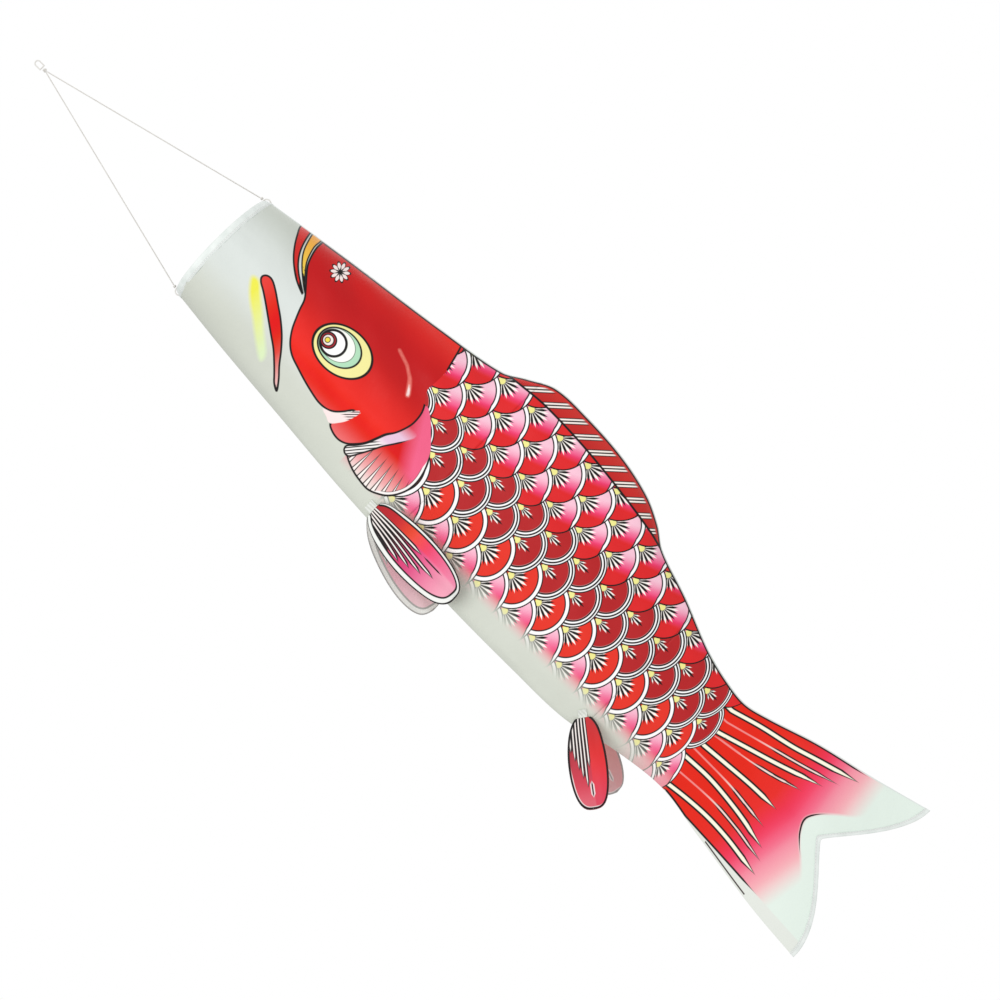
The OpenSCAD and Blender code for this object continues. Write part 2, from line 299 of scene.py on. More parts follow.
def curve(points, at):
    """The smooth line through (place, value) points, read at an array of places."""
    place, value = (np.array(row, float) for row in zip(*points))
    slope = np.empty_like(value)
    slope[1:-1] = (value[2:] - value[:-2]) / (place[2:] - place[:-2])
    slope[0], slope[-1] = np.diff(value)[[0, -1]] / np.diff(place)[[0, -1]]
    i = np.clip(np.searchsorted(place, at, side="right") - 1, 0, len(place) - 2)
    gap = place[i + 1] - place[i]
    t = (at - place[i]) / gap
    return ((2 * t**3 - 3 * t**2 + 1) * value[i] + (t**3 - 2 * t**2 + t) * gap * slope[i]
            + (3 * t**2 - 2 * t**3) * value[i + 1] + (t**3 - t**2) * gap * slope[i + 1])


def ease(low, high, at):
    """0 below low, 1 above high, smooth between."""
    t = np.clip((at - low) / (high - low), 0, 1)
    return t * t * (3 - 2 * t)


def sock_at(s, a):
    """x and y of the flat-lying sock at s, for a from 0 at the back to pi at the belly."""
    back, belly = curve(back_line, s), curve(belly_line, s)
    x = (back + belly) / 2 + (back - belly) / 2 * np.cos(a)
    return x, 0.4 + curve(side_line, s) * np.clip(np.sin(a), 0, 1) ** (1 + 0.3 * np.minimum(1, s / 300))


def tail_cut(c):
    """Distance from the mouth to the forked edge, for c from -1 at the belly to 1 at the back."""
    notch_c, notch_s, back_tip, belly_tip = 0.09, 933, 66, 71
    share = np.where(c > notch_c, (c - notch_c) / (1 - notch_c), (notch_c - c) / (1 + notch_c))
    return notch_s + np.where(c > notch_c, back_tip, belly_tip) * np.sin(np.pi / 2 * share**1.15)


def tail_sway(s, x):
    """The slow wave that both sides of the tail share, as a shift in y."""
    return 5 * ease(760, 960, s) * np.sin((s - 700) / 46 + x / 60)


def folds(s, x, edge, side):
    """How far the cloth stands out of its smooth shape: long folds, puckers at seams and mouth."""
    swell = np.empty(len(s))
    for i, (si, xi, ei) in enumerate(zip(s.tolist(), x.tolist(), edge.tolist())):
        long_fold = noise.noise(Vector((xi / 24, si / 150, 3.1 * side)))
        cross_fold = noise.noise(Vector(((xi + 0.7 * si) / 34, (si - 0.7 * xi) / 90, 7.7 + side)))
        seam = noise.noise(Vector((si / 6.5, xi / 40, 1.3 * side))) * math.exp(-ei / 9)
        mouth = noise.noise(Vector((xi / 5, si / 60, 5.5))) * math.exp(-(si - 8) / 16)
        swell[i] = 2.6 * long_fold + 2.4 * cross_fold + 1.1 * seam + 0.9 * mouth
    for x0, s0, calm in fin_roots:
        swell *= 1 - 0.85 * np.exp(-((x - x0) ** 2 + (s - s0) ** 2) / calm**2)
    room = np.clip(curve(side_line, s) / 16, 0, 1)
    return swell * room * ease(0, 9, edge) * (0.35 + 0.65 * ease(8, 60, s))


def outline(points, s, x, detail=5):
    """Signed mm from a smooth closed outline through (s, x) points: negative inside."""
    knots = np.array(points, float)
    before, after, later = (np.roll(knots, n, axis=0) for n in (1, -1, -2))
    ring = []
    for t in np.arange(detail) / detail:
        ring.append(((2 * t**3 - 3 * t**2 + 1) * knots + (t**3 - 2 * t**2 + t) * (after - before) / 2
                     + (3 * t**2 - 2 * t**3) * after + (t**3 - t**2) * (later - knots) / 2))
    ring = np.stack(ring, axis=1).reshape(-1, 2)
    return reach(np.vstack([ring, ring[:1]]), s, x) * np.where(within(ring, s, x), -1, 1)


def reach(line, s, x):
    """Distance in mm from an open line of (s, x) points."""
    best = np.full(len(s), 1e9)
    for (s0, x0), (s1, x1) in zip(line[:-1], line[1:]):
        long = max((s1 - s0) ** 2 + (x1 - x0) ** 2, 1e-9)
        t = np.clip(((s - s0) * (s1 - s0) + (x - x0) * (x1 - x0)) / long, 0, 1)
        best = np.minimum(best, np.hypot(s - s0 - t * (s1 - s0), x - x0 - t * (x1 - x0)))
    return best


def within(ring, s, x):
    """Which places lie inside a closed ring of (s, x) points."""
    held = np.zeros(len(s), bool)
    for (s0, x0), (s1, x1) in zip(ring, np.roll(ring, -1, axis=0)):
        if x0 != x1:
            held ^= ((x0 > x) != (x1 > x)) & (s < s0 + (x - x0) * (s1 - s0) / (x1 - x0))
    return held


# The print of the head, as outlines through (s, x)
lower_lip = [(57, 7), (60, 12), (67, 13), (77, 8), (90, -1), (104, -11), (118, -23), (130, -36),
             (140, -49), (150, -60), (158, -71), (150, -67), (143, -60), (134, -51), (122, -40),
             (108, -30), (94, -20), (80, -10), (68, -2), (61, 2)]
lip_glow = [(49, 0), (56, -11), (68, -22), (82, -32), (98, -45), (120, -60), (120, -50), (100, -33),
            (84, -19), (70, -8), (58, 2)]
upper_lip = [(48, 77), (52, 68), (58, 58), (66, 48), (76, 39), (88, 31), (103, 25), (93, 32), (84, 38),
             (76, 45), (69, 54), (64, 65), (61, 78), (60, 92), (48, 92)]
lip_band = [(64, 84), (66, 70), (71, 58), (79, 48), (90, 38), (104, 27), (97, 34), (88, 44), (80, 55),
            (75, 71), (75, 84)]
head_red = [(80, 124), (78, 84), (78, 70), (83, 54), (91, 43), (99, 34), (108, 23), (112, 12), (116, 2),
            (122, -11), (131, -23), (142, -31), (156, -36), (172, -41), (188, -45), (200, -47),
            (211, -46), (219, -42), (226, -35), (232, -27), (236, -26), (235, -34), (230, -45),
            (225, -54), (232, -59), (243, -61), (253, -58), (261, -51), (268, -42), (273, -30),
            (277, -20), (283, -12), (287, -3), (290, 8), (290, 18), (288, 27), (283, 36), (278, 42),
            (275, 50), (276, 60), (276, 75), (274, 84), (270, 100), (267, 112), (266, 132), (170, 140)]
gill_band = [(255, -60), (262, -52), (269, -42), (274, -30), (278, -20), (284, -11), (288, -2), (290, 6),
             (296, 8), (303, 2), (299, -8), (292, -20), (284, -32), (279, -42), (272, -55), (265, -66),
             (258, -66)]
side_fan = [(264, -67), (280, -74), (297, -77), (307, -77), (317, -73), (326, -67), (333, -58),
            (338, -46), (339, -32), (336, -18), (330, -5), (322, 6), (312, 16), (303, 25), (292, 33),
            (286, 34), (288, 25), (290, 10), (280, -20), (262, -60)]
jaw_crescent = [(206, -49), (216, -52), (224, -55), (231, -48), (237, -38), (241, -22), (236, -24),
                (232, -31), (226, -38), (219, -44), (211, -47)]
dorsal_base = [(320, 121), (345, 124), (380, 127), (440, 125), (500, 119), (560, 110), (585, 104)]

# The print of the tail: main rays and the thin ones between them, each as (s, x), from the belly
tail_rays = [[(765, -75), (800, -71), (830, -69.5), (860, -71), (890, -75), (940, -82)],
             [(765, -56), (820, -53), (860, -56), (885, -60), (940, -68)],
             [(760, -39), (800, -37.5), (840, -41), (870, -46), (940, -62)],
             [(770, -26), (820, -27), (850, -30), (882, -34), (940, -42)],
             [(770, -16), (800, -13.5), (840, -10.5), (882, -10), (940, -10)],
             [(770, 0), (820, 8), (850, 15), (880, 24), (940, 36)],
             [(770, 5), (800, 14), (840, 26), (870, 36), (940, 60)],
             [(770, 20), (800, 28), (830, 36), (860, 44), (940, 68)],
             [(765, 33), (800, 43), (840, 52), (870, 61), (940, 81)]]
ray_ends = [(-85, 915), (-70, 912), (-53, 900), (-34, 884), (-10, 880), (20, 884), (45, 898), (70, 920),
            (90, 930)]
red_edge = [(765, -84), (800, -85.5), (860, -88.5), (920, -92), (1010, -97)]
printed_fork = [(-100, 972), (-80, 967), (-63, 961), (-46, 950), (-31, 935), (-20, 922), (-9, 912),
                (5, 906), (18, 912), (31, 925), (47, 945), (68, 960), (88, 968), (105, 972)]

# Scales: columns across the fish and rows along it. Neighbouring columns are half a row apart. The rows
# start 45 mm apart behind the gill, and each gap is 0.44 mm less than the one before.
column_pitch, row_pitch, scale_r, scale_drop = 30.4, 43.0, 32.2, 10.8
first_row, first_gap, gap_less = 273, 45, 0.44
row_shift = [(0, 2), (280, 2), (413, 4.5), (629, 4.5), (707, 3), (738, 0.5), (757, -6.5), (771, -13),
             (800, -14), (1010, -14)]
front_columns = [(-120, -1.7), (-66, 0), (-33, 1), (0, 2), (28.5, 3), (53, 4), (82, 5), (113, 6), (160, 7.5)]
rear_columns = [(-120, -1.7), (-66, 0), (-33, 1), (-1, 2), (29.5, 3), (60, 4), (90, 5), (120, 6), (160, 7.4)]


# The print is laid out as it looks from straight in front: how far away, over which x and s, in mm
look_away, look_x, look_s = 1000 * camera_away, 17.6, 418


def spread_print(x, s):
    """The print's own x and s at a place on the sock, which lie further out where the side swells."""
    back, belly = curve(back_line, s), curve(belly_line, s)
    share = np.clip(1 - ((x - (back + belly) / 2) / ((back - belly) / 2)) ** 2, 0, 1)
    swell = 1 + curve(side_line, s) * share ** (0.5 + 0.15 * np.minimum(1, s / 300)) / look_away
    return look_x + (x - look_x) * swell, look_s + (s - look_s) * swell


def print_fields(s, x):
    """The print's fields at each point: mm from outlines and lines, by name."""
    back, belly = curve(back_line, s) - x, x - curve(belly_line, s)
    x, s = spread_print(x, s)
    spot = (s, x)
    leaned = s - 0.04 * np.maximum(55 - x, 0) - curve(row_shift, s)
    row = first_gap - np.sqrt(np.maximum(first_gap**2 - 2 * gap_less * (leaned - first_row), 1))
    row /= gap_less
    wide = ease(460, 560, s)
    column = curve(front_columns, x) * (1 - wide) + curve(rear_columns, x) * wide
    fields = {"column": column, "row": row, "from_back": back, "from_belly": belly,
              "dorsal": curve(dorsal_base, np.clip(s, 320, 585)) - x + 40
              * (1 - ease(312, 322, s) + ease(590, 600, s))}
    if s.min() < 300:
        fields |= {"lower_lip": outline(lower_lip, *spot), "lip_glow": outline(lip_glow, *spot),
                   "upper_lip": outline(upper_lip, *spot), "lip_band": outline(lip_band, *spot),
                   "head_red": outline(head_red, *spot), "gill_band": outline(gill_band, *spot),
                   "side_fan": outline(side_fan, *spot), "crescent": outline(jaw_crescent, *spot),
                   "gill_shine": reach([(222, 57), (240, 51), (252, 43), (258, 36), (264, 28)], *spot)
                   - 1.3 - 1.2 * ease(246, 262, s), "fan_ray": (s - 284) / (1 - 0.005 * (x + 70))}
    if s.max() > 900:
        rays = np.stack([curve(ray, np.clip(s, ray[0][0], 940)) for ray in tail_rays])
        pitch = np.diff(rays, axis=0)
        n = np.clip((x > rays).sum(axis=0) - 1, 0, len(rays) - 2)
        at = np.arange(len(s))
        fields |= {"ray": np.clip(n + (x - rays[n, at]) / pitch[n, at], -0.5, len(rays) - 0.5),
                   "ray_pitch": pitch[n, at], "ray_end": s - curve(ray_ends, np.clip(x, -85, 90)),
                   "fork": s - curve(printed_fork, np.clip(x, -100, 105)),
                   "red_edge": np.minimum(x - curve(red_edge, np.clip(s, 765, 1010)),
                                          fields["from_belly"] - 1.4)}
    return fields


def grid(columns, rows):
    """A flat mesh, and how far across it and down it each vertex is, from 0 to 1."""
    shape = bmesh.new()
    bmesh.ops.create_grid(shape, x_segments=columns, y_segments=rows, size=0.5)
    return shape, np.array([v.co[:2] for v in shape.verts]).T + 0.5


def from_edge(s, x):
    """Distance across the fish from the nearer of its back and its belly."""
    return np.minimum(curve(back_line, s) - x, x - curve(belly_line, s))


def place_cloth(name, shape, side, x, y, s):
    """Moves a flat mesh to its place in mm on one side of the sock, facing out, and finishes it."""
    for vert, xi, yi, si in zip(shape.verts, x, y * side + tail_sway(s, x), s):
        vert.co = (xi / 1000, yi / 1000, -(mouth_drop + si) / 1000)
    if side > 0:
        bmesh.ops.reverse_faces(shape, faces=shape.faces)
    return mesh_of(name, shape)


def lay_map(mesh, layer, *pair):
    """A UV map from two arrays with a value in mm for each vertex."""
    corner = np.empty(len(mesh.loops), np.int32)
    mesh.loops.foreach_get("vertex_index", corner)
    mesh.uv_layers.new(name=layer).data.foreach_set("uv", np.stack(pair, 1)[corner].ravel())


def keep_fields(mesh, fields):
    """Stores arrays with a value for each vertex on a mesh, by name."""
    for name, values in fields.items():
        mesh.attributes.new(name, "FLOAT", "POINT").data.foreach_set("value", values.astype(np.float32))


def sock_side(name, side, top, bottom, columns, rows):
    """One length of one side: side is -1 on the fish's left, and no bottom means the forked cut."""
    shape, (across, down) = grid(columns, rows)
    a = np.pi * across
    s = top + ((tail_cut(np.cos(a)) if bottom is None else bottom) - top) * down
    x, y = sock_at(s, a)
    mesh = place_cloth(name, shape, side, x, y + folds(s, x, from_edge(s, x), side), s)
    fields = print_fields(s, x)
    keep_fields(mesh, fields)
    lay_map(mesh, "print", *spread_print(x, s))
    lay_map(mesh, "lattice", fields["column"], fields["row"])
    return mesh


# The inks, over white polyester: dyed colours stay matt, and the black outline is a little worn
black = "#0e0809"


def dye(add, cloth, edge, colour, soft=0.45):
    """Lays a colour over the cloth where a field of signed mm is below zero."""
    cover = add("MapRange", [edge, soft, -soft])
    return add("Mix", [cover, cloth, colour], data_type="RGBA")


def ink(add, cloth, line, half, colour=black, soft=0.35):
    """Draws a line over the cloth where a field of mm is near zero; half is half its width in mm."""
    return dye(add, cloth, ("SUBTRACT", ("ABSOLUTE", line), half), colour, soft)


def lay(add, cloth, *layers):
    """Lays dye and ink over the cloth in turn, each as (dye or ink, and what it takes)."""
    for layer, *given in layers:
        cloth = layer(add, cloth, *given)
    return cloth


def shades(add, at, *stops):
    """Colours that blend along a field, as (place, hex colour) stops."""
    first, last = stops[0][0], stops[-1][0]
    ramp = add("ValToRGB", [("MapRange", at, first, last)])
    ramp.color_ramp.interpolation = "CARDINAL"
    for place, colour in stops[1:-1]:
        ramp.color_ramp.elements.new((place - first) / (last - first)).color = hex_colour(colour)
    ramp.color_ramp.elements[0].color = hex_colour(stops[0][1])
    ramp.color_ramp.elements[-1].color = hex_colour(stops[-1][1])
    return ramp


def print_scales(add, cloth, x):
    """Rows of round scales, each over the two behind it, with a burst of rays and a striped rim."""
    lattice = add("SeparateXYZ", [add("UVMap", uv_map="lattice")])
    n, m = lattice.outputs[0], lattice.outputs[1]
    picks = []
    for odd in (0, 1):
        column = add("MULTIPLY_ADD", [("FLOOR", ("MULTIPLY_ADD", n, 0.5, 0.5 - odd / 2)), 2, odd])
        dx = add("MULTIPLY", [("SUBTRACT", n, column), column_pitch])
        half = add("SQRT", [("MAXIMUM", ("SUBTRACT", scale_r**2, ("MULTIPLY", dx, dx)), 0)])
        start = add("MULTIPLY_ADD", [half, -1 / row_pitch, -scale_drop / row_pitch - odd / 2])
        start = add("CEIL", [("ADD", m, start)])
        picks.append((column, dx, add("ADD", [start, odd / 2])))
    top = add("LESS_THAN", [picks[1][2], picks[0][2]])
    column, dx, row = (add("Mix", [top, even, odd]) for even, odd in zip(*picks))
    behind = add("MULTIPLY", [("SUBTRACT", m, row), row_pitch])
    out = add("CombineXYZ", [dx, ("SUBTRACT", behind, scale_drop)])
    rim = add("SUBTRACT", [scale_r, add("VectorMath", [out], operation="LENGTH")])

    # Ground colours: deep red in the two dark columns, red to pink elsewhere
    dark = add("COMPARE", [column, 2.5, 0.6])
    bright = add("COMPARE", [column, 1, 0.5])
    pinks = ("SUBTRACT", ("MapRange", x, 20, 120, 5, -3), ("MULTIPLY_ADD", rim, 0.5, -4))
    ground = shades(add, ("SUBTRACT", dx, pinks), (-15, "#dc1f22"), (-6, "#e1283a"), (2, "#ef4d7d"),
                    (10, "#f48fb0"), (18, "#f9c6d8"))
    ground = add("Mix", [bright, ground, "#e5301f"], data_type="RGBA")
    ground = add("Mix", [dark, ground, "#b41b1f"], data_type="RGBA")
    pale = add("MapRange", [x, -55, -74, 0, 0.75], interpolation_type="SMOOTHSTEP")
    ground = add("Mix", [pale, ground, "#f3a3b4"], data_type="RGBA")

    # The burst: black and white rays in turn from a yellow spot near the front of the scale
    ahead = add("SUBTRACT", [behind, 6])
    burst = add("VectorMath", [("CombineXYZ", dx, ahead)], operation="LENGTH")
    turn = add("ARCTAN2", [dx, ahead])
    away = add("ABSOLUTE", [turn])
    aside = add("MapRange", [("SUBTRACT", away, ("Mix", dark, 1.25, 0.72)), 0, 0.12, 0, 3])
    step = math.radians(10.5)
    ray = add("PINGPONG", [turn, step])
    gap = add("SUBTRACT", [step, ray])
    far = add("Mix", [dark, ("MapRange", away, 0.2, 1.2, 22.5, 17.5),
                      ("MapRange", away, 0.06, 0.3, 22, 13)])
    short = add("SUBTRACT", [burst, far])
    for turned, colour, share, widest, over in ((gap, "#fffaf3", 1.1, 1.35, 0.5),
                                                (ray, black, 0.55, 1.35, 0)):
        half = add("MapRange", [short, -7, over, widest, -0.5])
        half = add("MINIMUM", [half, ("MULTIPLY_ADD", burst, share * step, 0.18)])
        half = add("SUBTRACT", [half, aside])
        ground = ink(add, ground, ("MULTIPLY", turned, burst), half, colour, 0.3)
    ground = dye(add, ground, ("SUBTRACT", burst, 3.8), "#f1ec92")

    # The rim: stripes on the dark columns, one white band on the others
    stripes = ink(add, "#ffffff", ("PINGPONG", rim, 1.8), 0.95, black, 0.3)
    striped = dye(add, ground, ("SUBTRACT", rim, 8.1), stripes)
    wide = add("Mix", [bright, ("MapRange", dx, -9, 3, 0, 4.4), 4.9])
    banded = lay(add, ground, (dye, ("SUBTRACT", rim, ("ADD", wide, 1.5)), black, 0.3),
                 (dye, ("SUBTRACT", rim, wide), "#fffcfc", 0.3))
    scales = ink(add, add("Mix", [dark, banded, striped], data_type="RGBA"), rim, 1.4, black, 0.3)
    return add("Mix", [("LESS_THAN", row, 11.3), cloth, scales], data_type="RGBA")


print_names = {"head": ("dorsal", "from_back", "side_fan", "fan_ray", "gill_band", "head_red", "crescent",
                        "gill_shine", "lip_glow", "lower_lip", "upper_lip", "lip_band"),
               "trunk": ("dorsal", "from_back"), "tail": ("from_back", "from_belly", "ray", "ray_pitch",
                                                          "ray_end", "fork", "red_edge")}


def print_cloth(add, part):
    """The whole print of one length of the sock: head, trunk or tail, on undyed cloth with painted shade."""
    field = {name: add("Attribute", attribute_name=name).outputs["Fac"] for name in print_names[part]}
    place = add("SeparateXYZ", [add("UVMap", uv_map="print")])
    x, s = place.outputs[0], place.outputs[1]
    # Undyed greenish-white cloth with painted shade: darker towards the belly and the back, and darker still
    # near the mouth
    shaded_plain = shades(add, x, (-90, "#d3d7cc"), (-45, "#d8dcd2"), (-15, "#dfe5e1"), (35, "#dfe5e1"),
                   (75, "#d2d8ce"))
    shaded_plain = add("Mix", [("MapRange", s, 60, 320, 0.16, 0), shaded_plain, "#8f9488"], data_type="RGBA")
    if part == "tail":
        wings = add("MULTIPLY_ADD", [("ABSOLUTE", x), 0.15, 0])
        cloth = shades(add, ("ADD", s, wings), (660, "#e3201b"), (864, "#e6241e"), (895, "#ef4668"),
                       (914, "#f2849a"), (938, "#f3bcc0"), (960, "#e3efe6"))
        end = add("MapRange", [field["ray_end"], -24, 0, 1, 0])
        off = add("MULTIPLY", [("PINGPONG", field["ray"], 1), field["ray_pitch"]])
        thin = add("MULTIPLY", [("PINGPONG", ("SUBTRACT", field["ray"], 1), 1), field["ray_pitch"]])
        low = add("MULTIPLY", [("MapRange", s, 812, 832), end])
        pale = shades(add, s, (800, "#f08a88"), (835, "#f8dcd4"))
        cloth = lay(add, cloth, (ink, thin, ("MULTIPLY_ADD", low, 3.1, -0.5)),
                    (ink, thin, ("MULTIPLY_ADD", end, 1.45, -0.5), pale),
                    (ink, off, ("MULTIPLY_ADD", end, 4.6, -0.6)),
                    (ink, off, ("MULTIPLY_ADD", end, 2.6, -0.7), "#fdf8e2"))
        cloth = lay(add, print_scales(add, cloth, x), (dye, ("MULTIPLY", field["fork"], -1), "#e3efe6", 3),
                    (ink, field["fork"], ("MapRange", ("ABSOLUTE", x), 14, 34, 1.1, -0.6)))
    else:
        cloth = print_scales(add, shades(add, x, (-60, "#e98f9d"), (-20, "#d8262a")), x)
    # Towards the belly the print fades into the undyed cloth and its painted shade
    fade = add("MapRange", [x, -57, -81], interpolation_type="SMOOTHSTEP")
    if part == "tail":
        fade = add("MULTIPLY", [fade, ("MapRange", s, 700, 775, 1, 0)])
    cloth = add("Mix", [fade, cloth, shaded_plain], data_type="RGBA")
    if part != "tail":
        # The back fin is printed on the hump of the back, red with pairs of rays
        dorsal = field["dorsal"]
        # A pair of rays every 25 mm, leaning back: one passes through x 126 and s 378
        line = add("MULTIPLY_ADD", [x, 1.1, ("MULTIPLY_ADD", s, -1, 378 - 1.1 * 126)])
        pair = add("MULTIPLY", [("PINGPONG", line, 12.5), 0.673])
        fin = lay(add, shades(add, dorsal, (-34, "#d8352c"), (0, "#bf1f1c")), (ink, pair, 3.7),
                  (ink, pair, 2.6, "#fff4ec"), (ink, pair, 0.8),
                  (dye, ("SUBTRACT", field["from_back"], 5.5), "#d02a25", 1))
        cloth = lay(add, cloth, (dye, dorsal, fin), (ink, dorsal, 1.2))
    if part == "head":
        cloth = print_head(add, cloth, shaded_plain, field, x, s)
    # A thin black line follows the back a little inside the seam, and another the red edge of the tail
    rule = add("MapRange", [s, 74, 82, -0.6, 1]) if part == "head" else 1
    if part == "tail":
        rule = add("MapRange", [s, 905, 930, 1, -0.6])
        edge = field["red_edge"]
        dark = ("ADD", ("MapRange", s, 768, 776, -0.6, 1.1), ("MapRange", s, 905, 935, 0, -1.7))
        # A thin dark grey line 2.8 mm inside the belly seam, from s 846 to 918, is painted shadow of the
        # seam
        thread = ("MapRange", ("COMPARE", s, 882, 36), 0, 1, -0.6, 0.8)
        cloth = lay(add, cloth, (dye, ("ADD", edge, ("MapRange", s, 764, 774, 12, 0)), "#e3e7e0", 0.8),
                    (ink, edge, dark), (ink, ("SUBTRACT", field["from_belly"], 2.8), thread, "#3a2c2c"))
    return lay(add, cloth, (ink, ("SUBTRACT", field["from_back"], 2.2), rule),
               (dye, ("SUBTRACT", field["from_back"], 1.3), "#dfe6e2", 0.4))


def print_head(add, cloth, shaded_plain, field, x, s):
    """The face: red head, gill cover, fan of the breast fin, lips and eye."""
    # In front of s 262 the cloth is left undyed, with its painted shade
    cloth = dye(add, cloth, ("SUBTRACT", s, 262), shaded_plain)
    # Breast fan, behind the gill cover
    fan = field["side_fan"]
    ground = shades(add, x, (-78, "#efe9e2"), (-62, "#eeb0b0"), (-34, "#dc342e"), (0, "#d3241f"))
    ray = add("PINGPONG", [("ADD", field["fan_ray"], 5.2), 5.2])
    glow = add("MapRange", [("MULTIPLY_ADD", x, 0.6, s), 288, 310, 0, 0.95])
    glow = add("MULTIPLY", [glow, ("MapRange", x, -56, -34)])
    ground = add("Mix", [glow, ground, "#ee6189"], data_type="RGBA")
    lines = ink(add, "#fbf4f2", ("PINGPONG", fan, 2.2), 0.8)
    band = add("MapRange", [("ADD", s, ("MULTIPLY", x, -0.25)), 326, 336, 0, 4.2])
    band = add("MULTIPLY", [band, ("MapRange", x, -20, 0, 1, 0)])
    ground = lay(add, ground, (ink, ray, ("MapRange", x, -76, -31, 3.1, -0.5)),
                 (ink, ray, ("MapRange", x, -78, -40, 1.9, -0.4), "#fdf3ee"),
                 (dye, ("MULTIPLY", ("ADD", fan, band), -1), lines))
    cloth = lay(add, cloth, (dye, fan, ground), (ink, fan, ("MapRange", x, -8, 6, 1.1, -0.6)))
    # Gill cover: a white edge with black hatching at the bottom, lilac further up
    gill = field["gill_band"]
    hatch = ("PINGPONG", ("SUBTRACT", ("MULTIPLY", s, 1.2), x), 2.6)
    band = ink(add, "#f3efec", hatch, ("MapRange", x, -34, -26, 1, -0.6))
    band = add("Mix", [("MapRange", x, -34, -24), band, "#e6c4dc"], data_type="RGBA")
    band = add("Mix", [("MapRange", x, -10, 5), band, cloth], data_type="RGBA")
    cloth = lay(add, cloth, (dye, gill, band, 0.8), (ink, gill, ("MapRange", x, -16, 0, 1, -0.6)))
    # Head
    head = field["head_red"]
    red = shades(add, x, (-66, "#f07a7c"), (-40, "#e32c23"), (-12, "#e8241a"), (38, "#c00c0f"),
                 (80, "#cb1211"), (105, "#e82c22"))
    bare = ("MULTIPLY", ("COMPARE", x, 56, 22), ("GREATER_THAN", s, 262))
    nick = ink(add, "#fbe6e4", ("PINGPONG", ("SUBTRACT", s, x), 1.9), ("MapRange", x, -42, -36, -0.6, 0.8))
    shine = field["gill_shine"]
    cloth = lay(add, cloth, (dye, head, red), (ink, head, ("MapRange", bare, 0, 1, 1.1, -0.6)),
                (dye, field["crescent"], nick), (dye, shine, "#ea7d72", 1.4),
                (dye, ("ADD", shine, ("MapRange", s, 248, 262, 3, 0.9)), "#f9e2df", 0.7))
    # Lips
    glow = add("Mix", [("MapRange", s, 62, 116), "#e8e54b", "#dcefc0"], data_type="RGBA")
    lip = shades(add, s, (60, "#e2382f"), (128, "#e0453a"), (156, "#eec6c2"))
    gold = shades(add, x, (27, "#f0dc52"), (84, "#efa13a"))
    cloth = lay(add, cloth, (dye, field["lip_glow"], glow, 2.5), (dye, field["lower_lip"], lip),
                (ink, field["lower_lip"], 1.1), (dye, field["upper_lip"], "#d3231d"),
                (ink, field["upper_lip"], 1), (dye, field["lip_band"], gold), (ink, field["lip_band"], 0.85))
    # Rosette of ten petals above the lip
    spot = add("CombineXYZ", [("SUBTRACT", s, 115), ("SUBTRACT", x, 72)])
    away = add("VectorMath", [spot], operation="LENGTH")
    turn = add("ARCTAN2", [("SUBTRACT", x, 72), ("SUBTRACT", s, 115)])
    petal = ("MULTIPLY_ADD", ("ABSOLUTE", ("COSINE", ("MULTIPLY", turn, 5))), -5, -6.5)
    petal = add("ADD", [away, petal])
    gap = ("MULTIPLY", ("PINGPONG", ("ADD", turn, math.radians(18)), math.radians(18)), away)
    cloth = lay(add, cloth, (dye, petal, "#fbe9e6"), (ink, petal, 0.9),
                (ink, gap, ("MapRange", away, 2.5, 11, 0.9, -0.5)))
    # Eye, from the outside in
    for centre, radii, lean, colour, edge in (
            ((178.5, 11.5), (36.5, 26.5), 7, "#f1ea9c", 1.3), ((173.5, 12), (26.5, 20), 7, "#b0dcba", 1),
            ((170, 12.5), (21.5, 17), 4, "#f7faf2", 0.3), ((165, 10.8), (15, 14.2), 0, "#ffffff", 1.5),
            ((158.8, 9.3), (9.2, 8.8), 0, "#a51c28", 0.9), ((158.5, 9.3), (6.4, 6.2), 0, "#f4e6df", 0.7),
            ((157.8, 9), (3, 3), 0, "#ecd94a", 0.5)):
        flat = add("Mapping", {"Vector": ("CombineXYZ", s, x), "Location": (*centre, 0),
                               "Rotation": (0, 0, math.radians(lean)), "Scale": (*radii, 1)},
                   vector_type="TEXTURE")
        ring = add("VectorMath", [flat], operation="LENGTH")
        ring = add("MULTIPLY", [("SUBTRACT", ring, 1), sum(radii) / 2])
        cloth = lay(add, cloth, (dye, ring, colour), (ink, ring, edge))
    return cloth


def weave(add, cloth, washed):
    """Plain-woven polyester: a soft sheen and a fine square weave, drawn at 0.8 mm to show."""
    spot = add("UVMap", uv_map="print")
    threads = [add("TexWave", {"Vector": spot, "Scale": math.tau / 20 / 0.8}, bands_direction=direction)
               for direction in ("X", "Y")]
    crease = add("TexNoise", {"Vector": spot, "Scale": 0.05, "Detail": 4, "Roughness": 0.6})
    bumps = add("Bump", {"Height": ("ADD", *threads), "Strength": 0.25, "Distance": 0.00005})
    bumps = add("Bump", {"Height": crease, "Strength": 0.5, "Distance": 0.0012, "Normal": bumps})
    if washed:
        cloth = add("Mix", [washed, cloth, "#e9e6e2"], data_type="RGBA")
    rough = add("MapRange", [crease, 0.3, 0.7, 0.5, 0.62])
    finish = add("BsdfPrincipled", {"Base Color": cloth, "Roughness": rough, "Normal": bumps,
                                    "Specular IOR Level": 0.25, "Sheen Weight": 0.05})
    add("OutputMaterial", [finish])


def cloth_pair(part, draw, paler):
    """The printed face of a cloth, and its inside, paler by a share where the dye shows through."""
    pair = []
    for name, washed in ((f"printed polyester, {part}", 0), (f"inside of the polyester, {part}", paler)):
        material, add = new_material(name)
        weave(add, draw(add, part), washed)
        pair.append(material)
    return pair


